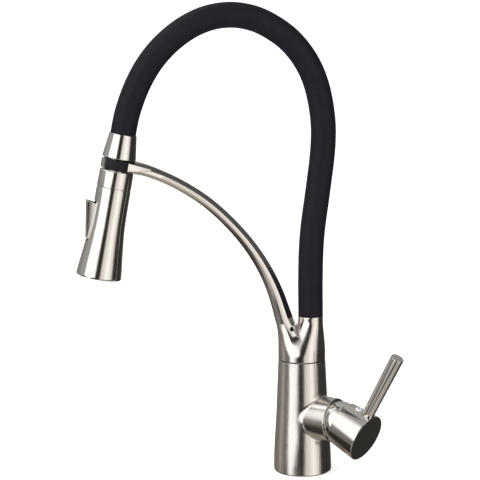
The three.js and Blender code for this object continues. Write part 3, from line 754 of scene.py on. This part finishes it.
def along_head(s):
    """The point s down the head's axis, in the plane X = 0."""
    return (HEAD_TOP[0] - s * math.sin(HEAD_TILT), HEAD_TOP[1] - s * math.cos(HEAD_TILT))


def hose_rings(line, radius, sides):
    rings = []
    for i, p in enumerate(line):
        way = (line[min(i + 1, len(line) - 1)] - line[max(i - 1, 0)]).normalized()
        side = Vector((0, way.z, -way.y))
        rings.append([p + Vector((1, 0, 0)) * (radius * math.cos(TURN * k / sides))
                      + side * (radius * math.sin(TURN * k / sides)) for k in range(sides)])
    return rings


def shell_of(name, line, radius, bore, sides):
    """A tube with a wall: outer skin, inner skin and two end rings."""
    outer = hose_rings(line, radius, sides)
    inner = hose_rings(line, bore, sides)
    verts = [v for ring in outer + inner for v in ring]
    rows = len(line)
    faces = []
    for i in range(rows - 1):
        for k in range(sides):
            n = (k + 1) % sides
            a, b = i * sides, (i + 1) * sides
            faces.append([a + k, a + n, b + n, b + k])
            c, d = a + rows * sides, b + rows * sides
            faces.append([c + n, c + k, d + k, d + n])
    for i in (0, rows - 1):
        for k in range(sides):
            n = (k + 1) % sides
            a, c = i * sides, (i + rows) * sides
            faces.append([a + n, a + k, c + k, c + n])
    return put(name, verts, faces)


def hose():
    line = route((SOCKET_Y, SOCKET_TOP + GAP), along_head(9))
    sleeve = shell_of("hose_silicone", line, HOSE_R, HOSE_BORE, 72)
    finish(sleeve, None, SILICONE, "silicone_black", "hose_sleeve", angle=60)
    inner_line = route((SOCKET_Y, SOCKET_TOP + 3), along_head(-1))
    inner = tube_along("hose_inner", hose_rings(inner_line, INNER_HOSE_R, 32))
    finish(inner, None, RUBBER, "rubber_black", "inner_hose", angle=60)
    # metres: the route curves between the top of its straight part and the cone; each piece's placement is
    # baked into its mesh
    for piece in (sleeve, inner):
        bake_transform(piece)


# ---------------------------------------------------------------- hose end, clip and spray head
def down(profile):
    """Heights given as distances down the head's axis."""
    return [(r, -s) for r, s in profile]


SHELL_WALL = 2.2
SHELL_PROFILE = [(16.35, 51.3), (16.45, 70), (16.9, 89), (18, 103), (19.5, 117), (20.7, 127), (21.65, 136.4)]


def hose_end():
    cone = lathe("cone_polished", down([(12.45, 0), (12.9, 0), (13.1, 0.6), (16.1, 22.5), (15.7, 23),
                                        (8.3, 23), (8.3, 12), (12.45, 12)]), HEAD, 128, 0.18)
    finish(cone, "hose_end", POLISHED, "polished_nickel", "hose_cone")
    tube = lathe("neck_polished", down([(NECK_BORE, 0), (NECK_BORE, 49), (8, 49), (8, 44.6), (7, 44.6),
                                        (7, 43.2), (8, 43.2), (8, 8), (8.4, 7.5), (8.4, -10), (6.3, -10),
                                        (6.3, 0)]), HEAD, 96, 0.1)
    plan = fillet([(-8.2, 5), (-8.2, 17), (8.2, 17), (8.2, 5)], 4.4, steps=6)
    lug = prism("lug", [(x, -y, z - CLIP_S) for z in (-4.1, 4.1) for x, y in plan], HEAD)
    bevel(lug, 0.8, 3, 60)
    flush = turned("flush", [(0, -40), (16.1, -40), (16.1, -18), (0, -18)], HEAD, 160)
    combine(lug, [flush], "INTERSECT")
    combine(lug, [rod("bore", (0, 0, 12), (0, 0, -60), NECK_BORE, NECK_BORE, HEAD)])
    combine(tube, [lug], "UNION")
    finish(tube, "hose_end", POLISHED, "polished_nickel", "docking_neck")


def clip():
    half = 4.9
    body = lathe("clip_moulding", [(8.5, -half), (15.6, -half), (15.6, half), (8.5, half)],
                 HEAD @ Matrix.Translation((0, 0, -CLIP_S)), 128, 0.6)
    tools = [
        block("mouth", (17.2, 20, 12), (0, -10, -CLIP_S), HEAD),
        rod("hole", (0, 6, -CLIP_S), (0, 20, -CLIP_S), CLIP_SCREW_R, CLIP_SCREW_R, HEAD),
        rod("sink", (0, 6, -CLIP_S), (0, 11, -CLIP_S), 3.4, 3.4, HEAD),
    ]
    combine(body, tools)
    finish(body, "spout", NYLON, "nylon_black", "holder_clip")


def spray_head():
    collar = lathe("collar_nickel", down([(8.35, 35), (15.7, 35), (16.1, 35.5), (16.35, 51), (13.7, 51),
                                          (13.7, 41), (8.35, 41)]), HEAD, 128, 0.2)
    finish(collar, "spray_head", HEAD_METAL, "brushed_nickel", "head_collar")
    curve = smooth_profile(SHELL_PROFILE)
    wall = [(r - SHELL_WALL, s) for r, s in curve if s > 66]
    shell = lathe("shell_nickel", down([(11, 42), (13.4, 42), (13.4, 51.3), (16.0, 51.3), *curve[1:],
                                        (21.5, 137.6), (21.2, 138), (19.4, 138), *reversed(wall), (11, 56)]),
                  HEAD, 160, 0.12)
    tools = [
        block("window", (13.2, 14, 39), (0, -18.6, -85), HEAD),
        rod("pin_seat", (-8.7, *ROCKER_PIN), (8.7, *ROCKER_PIN), ROCKER_PIN_R, ROCKER_PIN_R, HEAD),
    ]
    combine(shell, tools)
    finish(shell, "spray_head", HEAD_METAL, "brushed_nickel", "head_shell")


def rocker():
    side = [(-23.7, -67), (-14.6, -68.5), (-13, -90), (-12, -96), (-13, -100.5), (-16.8, -103),
            (-18.4, -102.6)]
    outer = fillet([(-y, z) for y, z in side], 0.5)
    switch = prism("rocker_wedge", [(x, -y, z) for x in (-6.2, 6.2) for y, z in outer], HEAD)
    bevel(switch, 1.0, 4, 50)
    hollow = [(-22.2, -60), (-10, -60), (-10, -92), (-18.3, -92)]
    tools = [
        prism("hollow", [(x, y, z) for x in (-4.9, 4.9) for y, z in hollow], HEAD),
        rod("eye", (-10, *ROCKER_PIN), (10, *ROCKER_PIN), ROCKER_PIN_R, ROCKER_PIN_R, HEAD),
    ]
    combine(switch, tools)
    finish(switch, "rocker", HEAD_METAL, "brushed_nickel", "rocker_switch")


# ---------------------------------------------------------------- valve and lever
DOME_R = 19.7
DOME_INNER_R = 18.1


def bonnet():
    start = math.asin((PIVOT_X - HOUSING_REACH - GAP) / DOME_R)
    end = math.radians(50)
    outer = [(DOME_R * math.cos(a), PIVOT_X + DOME_R * math.sin(a))
             for a in [lerp(-start, end, k / 24) for k in range(25)]]
    inner = [(DOME_INNER_R * math.cos(a), PIVOT_X + DOME_INNER_R * math.sin(a))
             for a in [lerp(end, -start - 0.05, k / 16) for k in range(17)]]
    dome = lathe("dome_polished", [(16.7, 35), (18.3, 35), (18.3, HOUSING_REACH + GAP), *outer, *inner,
                                   (16.7, 39)], VALVE_AXIS, 128, 0.12)
    finish(dome, "faucet_base", POLISHED, "polished_nickel", "bonnet_dome")


def rod_x(up):
    """Where the lever rod's middle is along the cap, at a height above the cap's axis."""
    return 25.4 + (up - 17) * math.tan(math.radians(7.5))


def handle():
    cap = lathe("cap_nickel", [(20.4, 3), (21.35, 3), (21.6, 3.25), (23.8, 32.3), (23.65, 32.8), (23.2, 33),
                               (0, 33), (0, 29), (9, 29), (14, 25), (18, 19.5), (20.4, 12)],
                LEVER @ ALONG_X, 160, 0.1)
    tools = [
        rod("rod_hole", (rod_x(16.6), 0, 16.6), (rod_x(40), 0, 40), 5.9, 6.4, LEVER),
        rod("plug_hole", (INDEX_X, 0, 18), (INDEX_X, 0, 30), 3.4, 3.4, LEVER),
    ]
    boss = rod("boss", (22, 0, 0), (30, 0, 0), 6, 6, LEVER)
    combine(cap, [boss], "UNION")
    combine(cap, [*tools, block("socket", (10, 5.4, 5.4), (23, 0, 0), LEVER)])
    finish(cap, "handle", CAP_METAL, "brushed_nickel", "handle_cap")

    foot, tip = Vector((rod_x(17), 0, 17)), Vector((rod_x(92), 0, 92))
    length = (tip - foot).length
    turn = (tip - foot).to_track_quat("Z", "Y").to_matrix().to_4x4()
    grip = lathe("rod_polished", [(0, 0), (5.6, 0), (6.4, length - 0.5), (6.25, length - 0.15), (5.9, length),
                                  (0, length)], LEVER @ Matrix.Translation(foot) @ turn, 96, 0.1)
    finish(grip, "handle", POLISHED, "polished_nickel", "lever_rod")
    plug = lathe("index_button", [(0, 20.2), (3.2, 20.2), (3.2, 22.5), (2.8, 22.95), (0, 23.1)],
                 LEVER @ Matrix.Translation((INDEX_X, 0, 0)), 64, 0.25)
    finish(plug, "handle", INDEX, "index_white", "index_plug")


# ---------------------------------------------------------------- below the worktop
def mounting():
    pitch = 1.5
    crests = []
    z = -57.4
    while z < 8:
        crests += [(15.25, z), (15.95, z + pitch * 0.45), (15.95, z + pitch * 0.55)]
        z += pitch
    shank = turned("shank_threaded", [(12.6, -58), (15.1, -58), *crests, (15.2, 8.7), (12.6, 8.7)])
    finish(shank, "faucet_base", BRASS, "brass", "mounting_shank", angle=50)
    shank.visible_glossy = False
    nut = turned("nut_blank", [(16.3, -53), (24.6, -53), (24.6, -43.6), (16.3, -43.6)])
    hexagon = [(25 * math.cos(TURN * k / 6), 25 * math.sin(TURN * k / 6), z)
               for z in (-54, -42) for k in range(6)]
    combine(nut, [prism("hexagon", hexagon)], "INTERSECT")
    bevel(nut, 0.5)
    nut.name = "nut_hexagon"
    finish(nut, "faucet_base", BRASS, "brass", "mounting_nut")
    nut.visible_glossy = False


# ---------------------------------------------------------------- carried-over CAD nodes
CARRIED = [
    (RUBBER, ["base_gasket", "deck_seal_washer", "swivel_seal_lower", "swivel_seal_upper", "nozzle_mat"]),
    (BLACK_STEEL, ["arm_set_screw"]),
    (STEEL, ["deck_backing_washer", "spout_retaining_ring", "lever_stem", "cartridge_spindle", "lever_pin",
             "clip_screw", "neck_circlip", "rocker_pin", "inlet_filter", "aerator_screen"]),
    (BRASS, ["hot_inlet", "cold_inlet", "swivel_spigot", "hose_nipple", "cartridge_nut"]),
    (ACETAL, ["swivel_washer", "diverter_plunger"]),
    (GREY, ["swivel_glide_ring", "valve_cartridge", "diverter_body", "aerator_housing", "spray_plate"]),
]


def carried_over():
    """Better materials for the CAD nodes that stay. What is under the floor stays out of reflections."""
    for name in ("deck_seal_washer", "deck_backing_washer"):
        frame["nodes"][name].visible_glossy = False
    for material, names in CARRIED:
        for name in names:
            mesh = frame["nodes"][name].data
            mesh.materials.clear()
            mesh.materials.append(material)


# ---------------------------------------------------------------- studio
def studio_floor():
    half = 3000
    corners = [(-half, -half, 0), (half, -half, 0), (half, half, 0), (-half, half, 0)]
    floor = put("floor", corners, [(0, 1, 2, 3)])
    material, tree, shader = new_material("paper_floor")
    grain = noise_at(tree, (1, 1, 1), 0.002, 3)
    tree.links.new(two_tone(tree, grain, (0.60, 0.60, 0.60), (0.62, 0.62, 0.62)), shader.inputs["Base Color"])
    tree.links.new(spread(tree, grain, 0.85, 0.95), shader.inputs["Roughness"])
    shader.inputs["Emission Color"].default_value = (1, 1, 1, 1)
    shader.inputs["Emission Strength"].default_value = 0.55
    floor.data.materials.append(material)
    floor.visible_glossy = False


def band(tree, value, low, high, soft):
    """1 where value lies between low and high, with soft edges."""
    rise = spread(tree, value, 0, 1, low - soft, low + soft)
    fall = spread(tree, value, 1, 0, high - soft, high + soft)
    return calculate(tree, "MULTIPLY", rise, fall)


def painted(tree, mask, below, colour):
    mix = tree.nodes.new("ShaderNodeMix")
    mix.data_type = "RGBA"
    tree.links.new(mask, mix.inputs["Factor"])
    tree.links.new(below, mix.inputs["A"])
    mix.inputs["B"].default_value = (*colour, 1)
    return mix.outputs["Result"]


def studio_box(tree, below, angles, colour, across, up, soft):
    """A soft-edged panel of light or dark over what is below it. across and up are ranges in degrees."""
    mask = calculate(tree, "MULTIPLY", band(tree, angles[0], *across, soft[0]),
                     band(tree, angles[1], *up, soft[1]))
    return painted(tree, mask, below, colour)


# the light the surroundings give by height: (degrees above the horizon, colour)
SURROUNDINGS = [
    (-90, (0.30, 0.27, 0.24)), (-50, (0.33, 0.30, 0.265)), (-28, (0.22, 0.195, 0.17)),
    (-10, (0.20, 0.18, 0.165)), (6, (0.36, 0.35, 0.34)), (25, (0.34, 0.33, 0.32)),
    (60, (0.44, 0.43, 0.42)), (90, (0.34, 0.33, 0.32)),
]
# panels round the faucet: colour, degrees round from the front of the studio to its right, degrees above the
# horizon, softness of the edges both ways
PANELS = [
    ((0.40, 0.37, 0.335), (-111, -91), (-32, -6), (6, 5)),       # pale strip low on the left
    ((0.25, 0.245, 0.24), (-140, -106), (-8, 9), (8, 4)),        # doorway
    ((0.045, 0.04, 0.036), (-181, -156), (-20, -4), (7, 3)),     # dark door frame behind on the left
    ((0.035, 0.029, 0.024), (-128, -70), (-64, -21), (7, 4)),    # dark table edge, low left
    ((0.05, 0.042, 0.036), (-44, 12), (-46, -29), (6, 3)),       # dark table edge in front
    ((0.30, 0.275, 0.26), (-70, -40), (-62, -24), (4, 3)),       # paler stretch of the table
    ((0.42, 0.385, 0.34), (-30, 88), (-68, -47), (8, 4)),        # worktop in front of the faucet
    ((0.018, 0.016, 0.014), (98, 168), (-54, -22), (8, 5)),      # unlit corner, low right
    ((0.035, 0.033, 0.031), (77, 152), (-48, 30), (8, 14)),      # dark flag on the right
    ((0.085, 0.084, 0.086), (95, 140), (8, 78), (6, 6)),         # the flag's upper part
    ((1.7, 1.67, 1.63), (-160, -88), (42, 68), (8, 6)),          # high lamp behind
]


def world():
    """White paper all round, but in the metal a studio: softboxes, a dark gap between them, a table."""
    scene_world = bpy.data.worlds.new("studio")
    bpy.context.scene.world = scene_world
    scene_world.use_nodes = True
    tree = scene_world.node_tree
    tree.nodes.clear()
    where = tree.nodes.new("ShaderNodeTexCoord")
    turned = add(tree, "ShaderNodeMapping", Vector=where.outputs["Generated"])
    turned.inputs["Rotation"].default_value = (0, 0, math.pi / 2 - CAMERA_AZIMUTH)
    split = add(tree, "ShaderNodeSeparateXYZ", Vector=turned.outputs["Vector"])
    x, y, z = (split.outputs[k] for k in "XYZ")
    across = calculate(tree, "MULTIPLY", calculate(tree, "ARCTAN2", y, x), 180 / math.pi)
    up = calculate(tree, "MULTIPLY", calculate(tree, "ARCSINE", z), 180 / math.pi)
    stops = [(height / 180 + 0.5, colour) for height, colour in SURROUNDINGS]
    light = ramp(tree, spread(tree, up, 0, 1, -90, 90), stops)
    for colour, wide, high, soft in PANELS:
        light = studio_box(tree, light, (across, up), colour, wide, high, soft)
    # the left softbox leans, the right one is warmer and brightest in its middle, and between them it is dark
    leaning = calculate(tree, "MULTIPLY_ADD", up, 0.4, across)
    light = studio_box(tree, light, (leaning, up), (1.3, 1.29, 1.27), (-67, -5), (-29, 64), (3, 9))
    light = studio_box(tree, light, (across, up), (0.80, 0.76, 0.71), (4, 73), (-26, 58), (5, 5))
    light = studio_box(tree, light, (across, up), (1.16, 1.12, 1.06), (33, 58), (-26, 54), (9, 6))
    below = calculate(tree, "MINIMUM", up, 0)
    deep = calculate(tree, "MINIMUM", calculate(tree, "ADD", up, 10), 0)
    shifted = calculate(tree, "MULTIPLY_ADD", deep, -2, across)
    wide_below = calculate(tree, "MULTIPLY_ADD", below, -0.7, shifted)
    narrow_above = calculate(tree, "MULTIPLY_ADD", up, -0.25, across)
    left_edge = spread(tree, wide_below, 0, 1, -17, -8)
    right_edge = spread(tree, narrow_above, 1, 0, 9, 17)
    gap = calculate(tree, "MULTIPLY", left_edge, right_edge)
    gap = calculate(tree, "MULTIPLY", gap, band(tree, up, -28, 62, 4))
    light = painted(tree, gap, light, (0.03, 0.026, 0.022))
    rig = add(tree, "ShaderNodeBackground", Color=light, Strength=1.0)
    path = tree.nodes.new("ShaderNodeLightPath")
    # matt surfaces get more light from the left than from the right
    side = calculate(tree, "MULTIPLY", path.outputs["Is Diffuse Ray"], y)
    strength = calculate(tree, "MULTIPLY_ADD", side, -1.0, 1.25)
    paper = add(tree, "ShaderNodeBackground", Color=(1, 1, 1, 1), Strength=strength)
    both = tree.nodes.new("ShaderNodeMixShader")
    tree.links.new(path.outputs["Is Glossy Ray"], both.inputs[0])
    tree.links.new(paper.outputs["Background"], both.inputs[1])
    tree.links.new(rig.outputs["Background"], both.inputs[2])
    out = tree.nodes.new("ShaderNodeOutputWorld")
    tree.links.new(both.outputs["Shader"], out.inputs["Surface"])


def ramp(tree, fac, stops):
    """A colour ramp with the given (position, colour) stops."""
    node = add(tree, "ShaderNodeValToRGB", Fac=fac)
    elements = node.color_ramp.elements
    elements.remove(elements[1])
    elements[0].position, elements[0].color = stops[0][0], (*stops[0][1], 1)
    for place, colour in stops[1:]:
        elements.new(place).color = (*colour, 1)
    return node.outputs["Color"]


# name, degrees round from the front, height in metres, watts
LAMPS = [("key_softbox", 40, 1.1, 6), ("fill_softbox", 118, 0.9, 4)]
LAMP_SIZE = 0.9
LAMP_DISTANCE = 1.6
LAMP_AIM = Vector((0, -0.05, 0.2))


def lights():
    for name, azimuth, height, energy in LAMPS:
        data = bpy.data.lights.new(name, "AREA")
        data.energy = energy
        data.size = LAMP_SIZE
        lamp = bpy.data.objects.new(name, data)
        a = math.radians(azimuth)
        lamp.location = (LAMP_DISTANCE * math.sin(a), -LAMP_DISTANCE * math.cos(a), height)
        lamp.rotation_euler = (LAMP_AIM - lamp.location).to_track_quat("-Z", "Y").to_euler()
        lamp.visible_glossy = False
        bpy.context.scene.collection.objects.link(lamp)


make_camera()
hose()
main_body()
swivel_body()
hose_end()
clip()
spray_head()
rocker()
bonnet()
handle()
mounting()
carried_over()
studio_floor()
world()
lights()
bpy.context.scene.view_settings.view_transform = "Standard"
